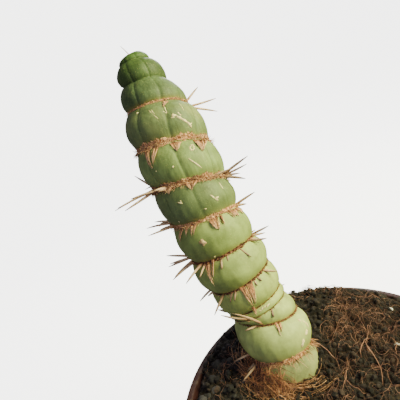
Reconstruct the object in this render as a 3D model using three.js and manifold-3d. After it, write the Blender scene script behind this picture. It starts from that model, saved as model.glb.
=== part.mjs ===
import * as THREE from "three";
import { mergeVertices } from "three/addons/utils/BufferGeometryUtils.js";
import Module from "manifold-3d";

// Potted spiral cactus. Millimetres, +Z up, origin at the centre of the pot's base.
// The stem is one body with a single left-handed groove winding up it. "Turn" is the place along
// that groove, 1 for each time round, and "azimuth" is the angle round the stem, 0 towards +X.

// Pot
const rimRadius = 95;
const potHeight = 145;
const baseRadius = 68;
const wallThickness = 2;
const floorThickness = 3;
const lipHeight = 15;
const lipOverhang = 3;
const lipRounding = 1.2;
const baseChamfer = 2;
const potSides = 52;
const drainHoleRadius = 5;
const drainHoleCircle = 42;
const drainHoleCount = 6;
const drainHoleSides = 8;

// Gap between touching pieces
const clearance = 0.3;

// Soil, heights from the rim plane: heaped up from front to back, and dipping to the wall
const soilSides = 52;
const soilRings = 13;
const soilFrontLevel = -3.4;
const soilBackRise = 11.2;
const soilRises = [5, 90];
const soilEdgeDip = 5.5;
const soilFrontDips = [76, 92];
const soilBackDips = [84, 91];
const soilLumpHeight = 1.1;
const soilLumpsEnd = [80, 88];
const soilWaves = { width: 7.1, shift: 1.3, depth: 6.3, acrossWidth: 4.7, alongWidth: 9.4 };

// Pebbles, lying on the soil at the left
const pebbleCount = 36;
const pebbleRadius = [3, 7];
const pebbleAngle = [2.4, 4.2];
const pebbleDistance = [64, 84];
const pebbleShape = [1, 0.8, 0.65];
const pebbleTilt = 0.5;
const pebbleRaised = 0.2;
const soilSeed = 7;

// Stem: centre line in rim radii from the rim centre, upwards from its buried foot
const stemPath = [
  [-0.158, 0.243, -0.463],
  [-0.163, 0.341, -0.124],
  [-0.19, 0.45, 0.194],
  [-0.253, 0.545, 0.533],
  [-0.338, 0.623, 0.88],
  [-0.388, 0.731, 1.243],
  [-0.422, 0.889, 1.624],
  [-0.455, 1.022, 1.953],
  [-0.497, 1.109, 2.314],
];
// Height of the groove along the centre line from the path's second point, where the groove passes +X:
// at turns -1, 0, 1 ...
const grooveHeightsRight = [
  -27.6, -7.4, 15.9, 39, 53, 59.3, 76.8, 97.4, 121.7, 142.1, 168.2, 197, 218.2, 235.2, 242, 242.4,
];
// The same where it passes -X: at turns -0.5, 0.5, 1.5 ...
const grooveHeightsLeft = [
  -17, -3.2, 22.8, 52, 54.4, 59, 81.2, 103.5, 129.1, 154.5, 182.5, 208.6, 225.8, 238.6, 242.1, 242.4,
];
// Radius of the swollen bands: at turns -0.25, 0.75, 1.75 ...
const bandRadii = [
  15.9, 21.8, 25, 20.4, 20.6, 23.1, 25.5, 25, 25.3, 27.1, 26.1, 20, 15.3, 9.5, 8.2,
];
const stemFirstTurn = -1;
const footTopTurn = -0.3;
const domeTurn = 12.3;
const stemLastTurn = 13.5;
const stepsPerSpan = 200;
const stemSides = 32;
const rowsInBand = [0, 0.07, 0.23, 0.5, 0.77, 0.93];

// Groove: depth as a share of the radius, at turns 0, 1, 2 ..., and less where the turns crowd together
// and at both ends
const grooveDepths = [0.17, 0.17, 0.17, 0.15, 0.15, 0.15, 0.18, 0.18, 0.14, 0.17, 0.2, 0.19, 0.28, 0.27];
const bandRoundness = 0.62;
const fullDepthThickness = 14;
const leastDepthShare = 0.25;
const grooveFadeIn = [0.2, 1];
const grooveFadeOut = [12.5, 13.1];

// Upright creases between the lobes: shallow low down, deeper near the top, and twisted there by these
// degrees, a turn apart
const lobeCount = 8;
const creaseDepth = 0.06;
const creaseSharpness = 6;
const lowCreaseShare = 0.3;
const creaseDeepens = [6.6, 8.6];
const creaseTwists = [0, 0, 0, 10, 24, 27, 17];
const creaseTwistTurn = 6.75;

// Wool in the groove, its half width in turns
const woolFirstTurn = 1.1;
const woolLastTurn = 10.75;
const woolHalfWidth = 0.09;
const woolProud = 0.7;
const woolEndShare = 0.3;

// Spines, with the longest of each turn from the turn below the first
const spineLengths = [8, 10, 14, 13, 12, 15, 18, 20, 28, 24, 17, 12];
const spineFirstTurn = 1.25;
const spineLastTurn = 10.9;
const spineRadius = 0.62;
const spineSides = 3;
const mostSpinesInAreole = 3;
const spineSpread = 0.55;
const spineSpreadJitter = 0.18;
const spineLift = 0.32;
const spineShortening = 0.55;
const spineRoot = 1.4;
const spineSeed = 11;
const areoleJitter = 0.2;
const clearOfSoilTurns = [1.6, 2.4];
const tipSpineLength = 8;
const tipSpineRadius = 0.45;
const tipSpineLean = 0.75;
const tipSpineInset = 1.5;

const wasm = await Module();
wasm.setup();

const fullTurn = 2 * Math.PI;
const clamp = THREE.MathUtils.clamp;
const smoothstep = THREE.MathUtils.smoothstep;

function seededRandom(seed) {
  let state = seed;
  return () => {
    state = (state * 1664525 + 1013904223) % 4294967296;
    return state / 4294967296;
  };
}

// A closed geometry as a solid, its seams and poles merged first
function toSolid(geometry) {
  const bare = geometry.index ? geometry.toNonIndexed() : geometry.clone();
  bare.deleteAttribute("normal");
  bare.deleteAttribute("uv");
  const merged = mergeVertices(bare, 1e-3);
  const corners = merged.index.array;
  const kept = [];
  for (let i = 0; i < corners.length; i += 3) {
    const [a, b, c] = corners.slice(i, i + 3);
    if (a !== b && b !== c && c !== a) {
      kept.push(a, b, c);
    }
  }
  return new wasm.Manifold(
    new wasm.Mesh({
      numProp: 3,
      vertProperties: new Float32Array(merged.attributes.position.array),
      triVerts: new Uint32Array(kept),
    })
  );
}

function toGeometry(solid) {
  const mesh = solid.getMesh();
  const geometry = new THREE.BufferGeometry();
  geometry.setAttribute("position", new THREE.BufferAttribute(new Float32Array(mesh.vertProperties), 3));
  geometry.setIndex(new THREE.BufferAttribute(new Uint32Array(mesh.triVerts), 1));
  geometry.computeVertexNormals();
  return geometry;
}

// A closed body from a flat grid, each corner moved to its place, with column steps turning round it
function gridSolid(columns, rows, placeOf) {
  const geometry = new THREE.PlaneGeometry(1, 1, columns, rows);
  const places = geometry.attributes.position;
  for (let row = 0; row <= rows; row++) {
    for (let column = 0; column <= columns; column++) {
      const place = placeOf(column, row);
      places.setXYZ((rows - row) * (columns + 1) + column, place.x, place.y, place.z);
    }
  }
  return toSolid(geometry);
}

// The largest body of a solid that cutting has left in pieces
function largestBody(solid) {
  const bodies = solid.decompose();
  return bodies.reduce((best, body) => (body.volume() > best.volume() ? body : best));
}

function makeMesh(name, solid, color, roughness) {
  const material = new THREE.MeshStandardMaterial({ color, roughness, metalness: 0 });
  const mesh = new THREE.Mesh(toGeometry(solid), material);
  mesh.name = name;
  return mesh;
}

// A smooth curve through values one turn apart that never dips between two rising ones
function turnCurve(values, firstTurn) {
  const steps = values.slice(1).map((value, i) => value - values[i]);
  const slopes = values.map((value, i) => {
    const before = steps[Math.max(i - 1, 0)];
    const after = steps[Math.min(i, steps.length - 1)];
    return before * after > 0 ? (2 * before * after) / (before + after) : 0;
  });
  return (turn) => {
    const place = clamp(turn - firstTurn, 0, values.length - 1.000001);
    const i = Math.floor(place);
    const t = place - i;
    const rise = t * t * (3 - 2 * t);
    return (
      values[i] * (1 - rise) +
      values[i + 1] * rise +
      slopes[i] * t * (1 - t) * (1 - t) -
      slopes[i + 1] * t * t * (1 - t)
    );
  };
}

// Pot

function makePot() {
  const lipInner = rimRadius - lipOverhang - wallThickness;
  const underLip = potHeight - lipHeight;
  const profile = [
    [0, 0],
    [baseRadius - baseChamfer, 0],
    [baseRadius, baseChamfer],
    [rimRadius - lipOverhang - wallThickness / 2, underLip],
    [rimRadius - lipRounding, underLip + lipRounding],
    [rimRadius, potHeight - lipRounding],
    [rimRadius - lipRounding, potHeight],
    [lipInner + lipRounding, potHeight],
    [lipInner, potHeight - lipRounding],
    [baseRadius - wallThickness, floorThickness],
    [0, floorThickness],
  ].map(([x, y]) => new THREE.Vector2(x, y));
  const shell = new THREE.LatheGeometry(profile, potSides);
  shell.rotateX(Math.PI / 2);
  let pot = toSolid(shell);
  for (let i = 0; i < drainHoleCount; i++) {
    const angle = (i / drainHoleCount) * fullTurn;
    const hole = new THREE.CylinderGeometry(
      drainHoleRadius,
      drainHoleRadius,
      3 * floorThickness,
      drainHoleSides
    );
    hole.rotateX(Math.PI / 2);
    hole.translate(Math.cos(angle) * drainHoleCircle, Math.sin(angle) * drainHoleCircle, 0);
    pot = pot.subtract(toSolid(hole));
  }
  return pot;
}

// Inner radius of the pot at a height, less the gap that the soil keeps
function soilRadiusAt(z) {
  const share = (z - floorThickness) / (potHeight - lipRounding - floorThickness);
  const top = rimRadius - lipOverhang - wallThickness;
  return THREE.MathUtils.lerp(baseRadius - wallThickness, top, clamp(share, 0, 1)) - 2 * clearance;
}

// Stem

const stemCurve = new THREE.CatmullRomCurve3(
  stemPath.map(([x, y, z]) => new THREE.Vector3(x * rimRadius, y * rimRadius, z * rimRadius + potHeight)),
  false,
  "catmullrom"
);
stemCurve.arcLengthDivisions = stepsPerSpan * (stemPath.length - 1);
const stemLength = stemCurve.getLength();
const buriedLength = stemCurve.getLengths()[stepsPerSpan];
const rightHeight = turnCurve(grooveHeightsRight, -1);
const leftHeight = turnCurve(grooveHeightsLeft, -0.5);
const bandRadius = turnCurve(bandRadii, -0.25);
const grooveDepth = turnCurve(grooveDepths, 0);
const creaseTwist = turnCurve(creaseTwists, creaseTwistTurn);
const spineLength = turnCurve(spineLengths, 0);

// Height along the centre line of a place on the stem
function heightAt(turn, azimuth) {
  const right = rightHeight(turn);
  const left = leftHeight(turn);
  return (right + left) / 2 + ((right - left) / 2) * Math.cos(azimuth);
}

// Centre, axis and outward direction of the stem at a height and an azimuth
function frameAt(height, azimuth) {
  const u = clamp((height + buriedLength) / stemLength, 0, 1);
  const axis = stemCurve.getTangentAt(u);
  const side = new THREE.Vector3(1, 0, 0).addScaledVector(axis, -axis.x).normalize();
  const back = new THREE.Vector3().crossVectors(axis, side);
  const out = side.multiplyScalar(Math.cos(azimuth)).addScaledVector(back, Math.sin(azimuth));
  return { centre: stemCurve.getPointAt(u), axis, out };
}

// Distance of the skin from the centre line: bands between the groove's turns, cut by upright creases
function skinRadius(turn, azimuth) {
  const across = (((turn + azimuth / fullTurn) % 1) + 1) % 1;
  const swelling = Math.pow(Math.sin(Math.PI * across), bandRoundness);
  const thickness = heightAt(turn + 0.5, azimuth) - heightAt(turn - 0.5, azimuth);
  const faded = smoothstep(turn, ...grooveFadeIn) * (1 - smoothstep(turn, ...grooveFadeOut));
  const grooved = faded * clamp(thickness / fullDepthThickness, leastDepthShare, 1);
  const lobed = THREE.MathUtils.lerp(lowCreaseShare, 1, smoothstep(turn, ...creaseDeepens));
  const twist = THREE.MathUtils.degToRad(creaseTwist(turn));
  const crease = Math.pow(Math.abs(Math.cos(((azimuth - twist) * lobeCount) / 2)), creaseSharpness);
  const foot = Math.sqrt(clamp((turn - stemFirstTurn) / (footTopTurn - stemFirstTurn), 0, 1));
  const domeShare = clamp((turn - domeTurn) / (stemLastTurn - domeTurn), 0, 1);
  const dome = Math.sqrt(1 - domeShare * domeShare);
  const bulge = 1 - grooveDepth(turn) * grooved * (1 - swelling);
  return bandRadius(turn) * bulge * (1 - creaseDepth * lobed * crease) * foot * dome;
}

function skinPoint(turn, azimuth, grow = 0) {
  const deeper = 2 * grow * (1 - smoothstep(turn, stemFirstTurn, footTopTurn));
  const { centre, out } = frameAt(heightAt(turn, azimuth) - deeper, azimuth);
  const radius = skinRadius(turn, azimuth);
  return centre.addScaledVector(out, radius > 0 ? radius + grow : 0);
}

// The skin as a grid whose rows follow the groove, so that its first and last columns meet a turn apart
function makeStemBody(grow = 0) {
  const bandCount = Math.ceil(stemLastTurn) + 1 - stemFirstTurn;
  return gridSolid(stemSides, bandCount * rowsInBand.length, (column, row) => {
    const band = Math.floor(row / rowsInBand.length);
    const along = stemFirstTurn + band + rowsInBand[row % rowsInBand.length];
    const turn = clamp(along - column / stemSides, stemFirstTurn, stemLastTurn);
    const isPole = turn === stemFirstTurn || turn === stemLastTurn;
    return skinPoint(turn, isPole ? 0 : (column / stemSides) * fullTurn, grow);
  });
}

// A needle with its wide end at root, pointing along direction
function makeNeedle(root, direction, length, radius) {
  const needle = new THREE.ConeGeometry(radius, length, spineSides);
  needle.translate(0, length / 2, 0);
  needle.applyQuaternion(
    new THREE.Quaternion().setFromUnitVectors(new THREE.Vector3(0, 1, 0), direction)
  );
  needle.translate(root.x, root.y, root.z);
  return toSolid(needle);
}

function makeStem() {
  const tip = frameAt(heightAt(stemLastTurn, 0), Math.PI);
  const direction = tip.out.clone().multiplyScalar(tipSpineLean).add(tip.axis).normalize();
  const root = tip.centre
    .clone()
    .addScaledVector(tip.axis, -tipSpineInset)
    .addScaledVector(tip.out, tipSpineInset);
  return makeStemBody().add(makeNeedle(root, direction, tipSpineLength, tipSpineRadius));
}

// Wool and spines

// Azimuth at which the groove passes a turn
function grooveAzimuth(turn) {
  return (Math.ceil(turn) - turn) * fullTurn;
}

// A three-cornered cord that fills the groove and stands a little proud of the skin beside it
function makeWoolCord() {
  const steps = Math.round((woolLastTurn - woolFirstTurn) * stemSides);
  const firstTurn = Math.round(woolFirstTurn * stemSides) / stemSides;
  return gridSolid(3, steps + 2, (side, row) => {
    const step = clamp(row - 1, 0, steps);
    const turn = firstTurn + step / stemSides;
    const azimuth = grooveAzimuth(turn);
    const half = woolHalfWidth * Math.min(1, woolEndShare + Math.min(step, steps - step) / stemSides);
    const corners = [
      skinPoint(turn, azimuth, 2 * clearance),
      skinPoint(turn - half, azimuth, woolProud),
      skinPoint(turn + half, azimuth, woolProud),
    ];
    if (row === 0 || row === steps + 2) {
      return corners[0].clone().add(corners[1]).add(corners[2]).divideScalar(3);
    }
    return corners[side % 3];
  });
}

function makeSpines(random) {
  const spines = [];
  const lastAreole = Math.floor((spineLastTurn - spineFirstTurn) * lobeCount);
  for (let areole = 0; areole < lastAreole; areole++) {
    const turn = spineFirstTurn + (areole + areoleJitter * (2 * random() - 1)) / lobeCount;
    const azimuth = grooveAzimuth(turn);
    const { axis, out } = frameAt(heightAt(turn, azimuth), azimuth);
    const along = new THREE.Vector3().crossVectors(axis, out);
    const count = areole % 2 === 0 ? mostSpinesInAreole : mostSpinesInAreole - 1;
    for (let i = 0; i < count; i++) {
      const spread = (i - (count - 1) / 2) * spineSpread + spineSpreadJitter * (2 * random() - 1);
      const clearOfSoil = 1 - smoothstep(turn, ...clearOfSoilTurns);
      const lift = spineLift * (2 * random() - 1 + clearOfSoil);
      const length = spineLength(turn) * (1 - spineShortening * random());
      const direction = out
        .clone()
        .multiplyScalar(Math.cos(spread))
        .addScaledVector(along, Math.sin(spread))
        .addScaledVector(axis, lift)
        .normalize();
      spines.push(makeNeedle(skinPoint(turn, azimuth, spineRoot), direction, length, spineRadius));
    }
  }
  return spines;
}

function makeWoolAndSpines(random) {
  const spines = makeSpines(random);
  const joined = spines.reduce((whole, spine) => whole.add(spine), makeWoolCord());
  return largestBody(joined.subtract(makeStemBody(clearance)));
}

// Soil

// Height of the soil's surface at a place, from the rim plane
function soilHeight(x, y) {
  const radius = Math.hypot(x, y);
  const backShare = smoothstep(y, ...soilRises);
  const heap = soilBackRise * backShare;
  const dipStart = THREE.MathUtils.lerp(soilFrontDips[0], soilBackDips[0], backShare);
  const dipEnd = THREE.MathUtils.lerp(soilFrontDips[1], soilBackDips[1], backShare);
  const dip = soilEdgeDip * smoothstep(radius, dipStart, dipEnd);
  const { width, shift, depth, acrossWidth, alongWidth } = soilWaves;
  const coarse = Math.sin(x / width + shift) * Math.cos(y / depth);
  const fine = Math.sin((x - y) / acrossWidth) * Math.cos((x + 2 * y) / alongWidth);
  const lumps = soilLumpHeight * (coarse + fine) * (1 - smoothstep(radius, ...soilLumpsEnd));
  return soilFrontLevel + heap - dip + lumps;
}

function makePebble(random) {
  const angle = THREE.MathUtils.lerp(...pebbleAngle, random());
  const distance = THREE.MathUtils.lerp(...pebbleDistance, random());
  const x = Math.cos(angle) * distance;
  const y = Math.sin(angle) * distance;
  const radius = THREE.MathUtils.lerp(...pebbleRadius, random() * random());
  const pebble = new THREE.IcosahedronGeometry(radius, 0);
  pebble.scale(...pebbleShape);
  pebble.rotateZ(fullTurn * random());
  pebble.rotateX(pebbleTilt * (random() - 0.5));
  pebble.translate(x, y, potHeight + soilHeight(x, y) + pebbleRaised * radius);
  return toSolid(pebble);
}

function makeSoil(random) {
  const bottom = floorThickness + clearance;
  const rings = Array.from({ length: soilRings }, (_, i) => 1 - i / soilRings);
  const profile = [
    [0, bottom],
    [soilRadiusAt(bottom), bottom],
    ...rings.map((share) => [share, potHeight]),
    [0, potHeight],
  ].map(([x, y]) => new THREE.Vector2(x, y));
  const shape = new THREE.LatheGeometry(profile, soilSides);
  shape.rotateX(Math.PI / 2);
  const places = shape.attributes.position;
  for (let i = 0; i < places.count; i++) {
    if (places.getZ(i) > bottom) {
      const edge = soilRadiusAt(potHeight + soilFrontLevel - soilEdgeDip);
      const x = places.getX(i) * edge;
      const y = places.getY(i) * edge;
      places.setXYZ(i, x, y, potHeight + soilHeight(x, y));
    }
  }
  let soil = toSolid(shape);
  for (let i = 0; i < pebbleCount; i++) {
    soil = soil.add(makePebble(random));
  }
  return largestBody(soil.subtract(makeStemBody(clearance)));
}

const group = new THREE.Group();
group.add(makeMesh("pot", makePot(), 0x4a2226, 0.5));
group.add(makeMesh("soil", makeSoil(seededRandom(soilSeed)), 0x2e2118, 0.95));
group.add(makeMesh("stem", makeStem(), 0x6f8f52, 0.55));
group.add(makeMesh("wool_and_spines", makeWoolAndSpines(seededRandom(spineSeed)), 0x9c6f45, 0.9));
export default group;
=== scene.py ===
import math

import bmesh
import bpy
import numpy as np
from mathutils import Euler, Matrix, Vector


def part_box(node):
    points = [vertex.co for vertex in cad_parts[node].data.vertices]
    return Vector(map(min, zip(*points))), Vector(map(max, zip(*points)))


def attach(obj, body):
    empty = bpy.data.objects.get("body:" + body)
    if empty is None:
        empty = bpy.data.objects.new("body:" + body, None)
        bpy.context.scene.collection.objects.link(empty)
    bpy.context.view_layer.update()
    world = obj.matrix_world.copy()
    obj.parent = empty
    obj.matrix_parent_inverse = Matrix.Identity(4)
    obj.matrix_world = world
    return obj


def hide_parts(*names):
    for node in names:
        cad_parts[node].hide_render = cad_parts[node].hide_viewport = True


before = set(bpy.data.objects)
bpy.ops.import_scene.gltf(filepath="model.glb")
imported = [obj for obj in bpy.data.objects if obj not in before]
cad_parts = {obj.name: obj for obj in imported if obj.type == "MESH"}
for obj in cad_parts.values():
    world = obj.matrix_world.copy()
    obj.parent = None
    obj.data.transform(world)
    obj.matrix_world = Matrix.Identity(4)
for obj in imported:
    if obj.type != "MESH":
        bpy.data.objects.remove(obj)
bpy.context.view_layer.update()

potLow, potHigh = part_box("pot")
rimRadius = (potHigh[0] - potLow[0]) / 2
rimHeight = potHigh[2]
mm = 0.001
fullTurn = 2 * math.pi

# Camera, placed in rim radii from the centre of the rim
shot = {
    "place": (-0.37, -1.58, 2.07),
    "tilt": math.radians(20),      # looking down
    "roll": math.radians(-20),
    "lens": 31.5,
    "sensor": 36.0,
    "pixels": 400,
}

right = np.array([1.0, 0.0, 0.0])
up = np.array([0.0, math.sin(shot["tilt"]), math.cos(shot["tilt"])])
ahead = np.array([0.0, math.cos(shot["tilt"]), -math.sin(shot["tilt"])])
frameRight = right * math.cos(shot["roll"]) + up * math.sin(shot["roll"])
frameUp = up * math.cos(shot["roll"]) - right * math.sin(shot["roll"])
cameraPlace = np.array(shot["place"]) * rimRadius + (0, 0, rimHeight)
focalPixels = shot["lens"] / shot["sensor"] * shot["pixels"]

cameraData = bpy.data.cameras.new("camera")
cameraData.lens = shot["lens"]
cameraData.sensor_width = shot["sensor"]
cameraData.clip_start = 0.01
camera = bpy.data.objects.new("camera", cameraData)
axes = np.column_stack([frameRight, frameUp, -ahead])
camera.matrix_world = Matrix.Translation(cameraPlace) @ Matrix(axes.tolist()).to_4x4()
bpy.context.collection.objects.link(camera)
bpy.context.scene.camera = camera


def toPhoto(points):
    # Place in the photo, in pixels, and depth
    ray = np.asarray(points) - cameraPlace
    depth = ray @ ahead
    half = shot["pixels"] / 2
    x = half + focalPixels * (ray @ frameRight) / depth
    y = half - focalPixels * (ray @ frameUp) / depth
    return np.stack([x, y], -1), depth


# Stem: turns are places along its single groove, azimuths go round its centre line from +X.
stem = {
    "path": [  # centre line in rim radii from the rim's centre, upwards from the buried foot
        (-0.158, 0.243, -0.463), (-0.163, 0.341, -0.124), (-0.19, 0.45, 0.194),
        (-0.253, 0.545, 0.533), (-0.338, 0.623, 0.88), (-0.388, 0.731, 1.243),
        (-0.422, 0.889, 1.624), (-0.455, 1.022, 1.953), (-0.497, 1.109, 2.314),
    ],
    "grooveRight": [  # mm along it from its second point, at +X: at turns -1, 0, 1 ...
        -27.6, -7.4, 15.9, 39, 53, 59.3, 76.8, 97.4, 121.7, 142.1, 168.2, 197, 218.2, 235.2, 242,
        242.4,
    ],
    "grooveLeft": [   # the same at -X: at turns -0.5, 0.5, 1.5 ...
        -17, -3.2, 22.8, 52, 54.4, 59, 81.2, 103.5, 129.1, 154.5, 182.5, 208.6, 225.8, 238.6,
        242.1, 242.4,
    ],
    "radii": [        # of the bands in mm: at turns -0.25, 0.75, 1.75 ...
        15.9, 21.8, 25, 20.4, 20.6, 23.1, 25.5, 25, 25.3, 27.1, 26.1, 20, 15.3, 9.5, 8.2,
    ],
    "firstTurn": -1.0,
    "footTop": -0.3,
    "domeTurn": 12.3,
    "lastTurn": 13.5,
    "grooveDepths": [  # as a share of the radius: at turns 0, 1, 2 ...
        0.17, 0.17, 0.17, 0.15, 0.15, 0.15, 0.18, 0.18, 0.14, 0.17, 0.2, 0.19, 0.28, 0.27,
    ],
    "grooveStarts": (0.2, 1),       # turns over which it gets its depth
    "grooveEnds": (12.5, 13.1),
    "roundness": 0.7,
    "fullDepthThickness": 14,
    "leastDepth": 0.25,
    "lobes": 8,
    "creaseDepth": 0.05,
    "creaseShape": ((0.32, 6), (0.38, 70)),      # share and sharpness of its wide and narrow parts
    "lowCreases": 0.05,
    "creasesStart": (6.6, 8.6),     # turns over which they get their full depth
    "twists": [0, 0, 0, 10, 24, 27, 17],   # degrees, a turn apart from turn 6.75
}


def smoothstep(value, low, high):
    share = np.clip((value - low) / (high - low), 0, 1)
    return share * share * (3 - 2 * share)


def catmullRom(points, stepsPerSpan):
    points = np.array(points, float)
    framed = np.vstack([2 * points[0] - points[1], points, 2 * points[-1] - points[-2]])
    t = np.linspace(0, 1, stepsPerSpan, endpoint=False)[:, None]
    spans = []
    for before, start, end, after in zip(framed, framed[1:], framed[2:], framed[3:]):
        bend = 2 * before - 5 * start + 4 * end - after
        twist = 3 * start - before - 3 * end + after
        spans.append(0.5 * (2 * start + (end - before) * t + bend * t**2 + twist * t**3))
    return np.vstack(spans + [points[-1:]])


def turnCurve(values, firstTurn):
    # Smooth through values one turn apart, and never dipping between two rising ones
    values = np.array(values, float)
    steps = np.diff(values)
    before = np.concatenate([steps[:1], steps])
    after = np.concatenate([steps, steps[-1:]])
    same = before * after > 0
    slopes = np.where(same, 2 * before * after / np.where(same, before + after, 1), 0)

    def curve(turn):
        place = np.clip(np.asarray(turn, float) - firstTurn, 0, len(values) - 1.000001)
        i = place.astype(int)
        t = place - i
        rise = t * t * (3 - 2 * t)
        level = values[i] * (1 - rise) + values[i + 1] * rise
        return level + slopes[i] * t * (1 - t) ** 2 - slopes[i + 1] * t * t * (1 - t)

    return curve


spanSteps = 200
centreLine = catmullRom(stem["path"], spanSteps) * rimRadius + (0, 0, rimHeight)
stepLengths = np.linalg.norm(np.diff(centreLine, axis=0), axis=1)
lengths = np.concatenate([[0], np.cumsum(stepLengths)])
lengths -= lengths[spanSteps]
axisLine = np.gradient(centreLine, lengths, axis=0)
axisLine /= np.linalg.norm(axisLine, axis=1, keepdims=True)
rightHeight = turnCurve(stem["grooveRight"], -1)
leftHeight = turnCurve(stem["grooveLeft"], -0.5)
bandRadius = turnCurve(stem["radii"], -0.25)
grooveDepth = turnCurve(stem["grooveDepths"], 0)
creaseTwist = turnCurve(stem["twists"], 6.75)


def heightAt(turn, azimuth):
    high, low = rightHeight(turn), leftHeight(turn)
    return ((high + low) / 2 + (high - low) / 2 * np.cos(azimuth)) * mm


def alongLine(line, height):
    return np.stack([np.interp(height, lengths, line[:, i]) for i in range(3)], -1)


def unit(vectors):
    return vectors / np.maximum(np.linalg.norm(vectors, axis=-1, keepdims=True), 1e-12)


def bandShare(turn, azimuth):
    # From 0 at the groove below to 1 at the groove above
    return (np.asarray(turn) + azimuth / fullTurn) % 1


def creaseAt(turn, azimuth):
    return np.abs(np.cos((azimuth - np.radians(creaseTwist(turn))) * stem["lobes"] / 2))


def skinRadius(turn, azimuth):
    swelling = np.sin(np.pi * bandShare(turn, azimuth)) ** stem["roundness"]
    thickness = (heightAt(turn + 0.5, azimuth) - heightAt(turn - 0.5, azimuth)) / mm
    grooved = smoothstep(turn, *stem["grooveStarts"]) * (1 - smoothstep(turn, *stem["grooveEnds"]))
    grooved = grooved * np.clip(thickness / stem["fullDepthThickness"], stem["leastDepth"], 1)
    lobed = stem["lowCreases"] + (1 - stem["lowCreases"]) * smoothstep(turn, *stem["creasesStart"])
    crease = creaseAt(turn, azimuth)
    creased = sum(share * crease**sharpness for share, sharpness in stem["creaseShape"])
    foot = np.sqrt(np.clip((turn - stem["firstTurn"]) / (stem["footTop"] - stem["firstTurn"]), 0, 1))
    top = np.clip((turn - stem["domeTurn"]) / (stem["lastTurn"] - stem["domeTurn"]), 0, 1)
    bulge = 1 - grooveDepth(turn) * grooved * (1 - swelling)
    lobes = 1 - stem["creaseDepth"] * lobed * creased
    return bandRadius(turn) * mm * bulge * lobes * foot * np.sqrt(1 - top * top)


def skinPoint(turn, azimuth, lift=0.0):
    # lift is in metres, straight out from the centre line
    turn, azimuth, lift = np.broadcast_arrays(turn, azimuth, lift)
    height = heightAt(turn, azimuth)
    axis = alongLine(axisLine, height)
    side = unit(np.array([1.0, 0, 0]) - axis * axis[..., :1])
    back = np.cross(axis, side)
    out = side * np.cos(azimuth)[..., None] + back * np.sin(azimuth)[..., None]
    radius = skinRadius(turn, azimuth) + lift
    return alongLine(centreLine, height) + out * radius[..., None]


def skinFrame(turn, azimuth):
    # Outward, round and up directions of the skin
    small = 0.01
    roundWay = unit(skinPoint(turn, azimuth + small) - skinPoint(turn, azimuth - small))
    upWay = unit(skinPoint(turn + small, azimuth) - skinPoint(turn - small, azimuth))
    return unit(np.cross(roundWay, upWay)), roundWay, upWay


def grooveAzimuth(turn):
    return (np.ceil(turn) - turn) * fullTurn


# Places on the side of the stem that the photo shows, so that a mark can be set by its pixel
lookup = {
    "turns": (0.2, 13.4, 0.012),     # first, last and step
    "degrees": (0, 360, 1.5),
    "tied": 0.8,                     # pixels: of the places this near, the one in front counts
    "probe": (0.004, 0.01),          # steps in turns and radians, to measure the slopes
    "farthest": 0.03,                # of a place from the nearest one in the grid
}
turnGrid, azimuthGrid = np.meshgrid(np.arange(*lookup["turns"]),
                                    np.radians(np.arange(*lookup["degrees"])))
turnGrid, azimuthGrid = turnGrid.ravel(), azimuthGrid.ravel()
gridPoints = skinPoint(turnGrid, azimuthGrid)
facing = np.sum(skinFrame(turnGrid, azimuthGrid)[0] * (cameraPlace - gridPoints), axis=1) > 0
turnGrid, azimuthGrid, gridPoints = turnGrid[facing], azimuthGrid[facing], gridPoints[facing]
gridPixels, gridDepths = toPhoto(gridPoints)


def skinPlaceAt(pixel):
    distance = np.hypot(*(gridPixels - pixel).T)
    near = np.flatnonzero(distance < distance.min() + lookup["tied"])
    best = near[np.argmin(gridDepths[near])]
    place = np.array([turnGrid[best], azimuthGrid[best]])
    turnStep, azimuthStep = lookup["probe"]
    steps = np.array([[0, 0], [turnStep, 0], [0, azimuthStep]])
    here, byTurn, byAzimuth = toPhoto(skinPoint(*(place + steps).T))[0]
    slopes = np.column_stack([(byTurn - here) / turnStep, (byAzimuth - here) / azimuthStep])
    reach = np.linalg.lstsq(slopes, np.array(pixel) - here, rcond=None)[0]
    return place + np.clip(reach, -lookup["farthest"], lookup["farthest"])


def newObject(name, mesh, material, smooth=True):
    piece = bpy.data.objects.new(name, mesh)
    bpy.context.collection.objects.link(piece)
    mesh.materials.append(material)
    if smooth:
        mesh.shade_smooth()
    else:
        mesh.shade_flat()
    return piece


def toMesh(shape, name):
    mesh = bpy.data.meshes.new(name)
    shape.to_mesh(mesh)
    shape.free()
    return mesh


def evaluatedMesh(piece, name):
    graph = bpy.context.evaluated_depsgraph_get()
    mesh = bpy.data.meshes.new_from_object(piece.evaluated_get(graph))
    mesh.name = name
    return mesh


def addPiece(name, mesh, material, smooth=True):
    piece = newObject(name, mesh, material, smooth)
    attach(piece, "root")
    print(name, len(mesh.polygons))
    return piece


def setAttribute(mesh, name, values):
    layer = mesh.attributes.new(name, "FLOAT", "POINT")
    layer.data.foreach_set("value", np.asarray(values, np.float32).ravel())


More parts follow.
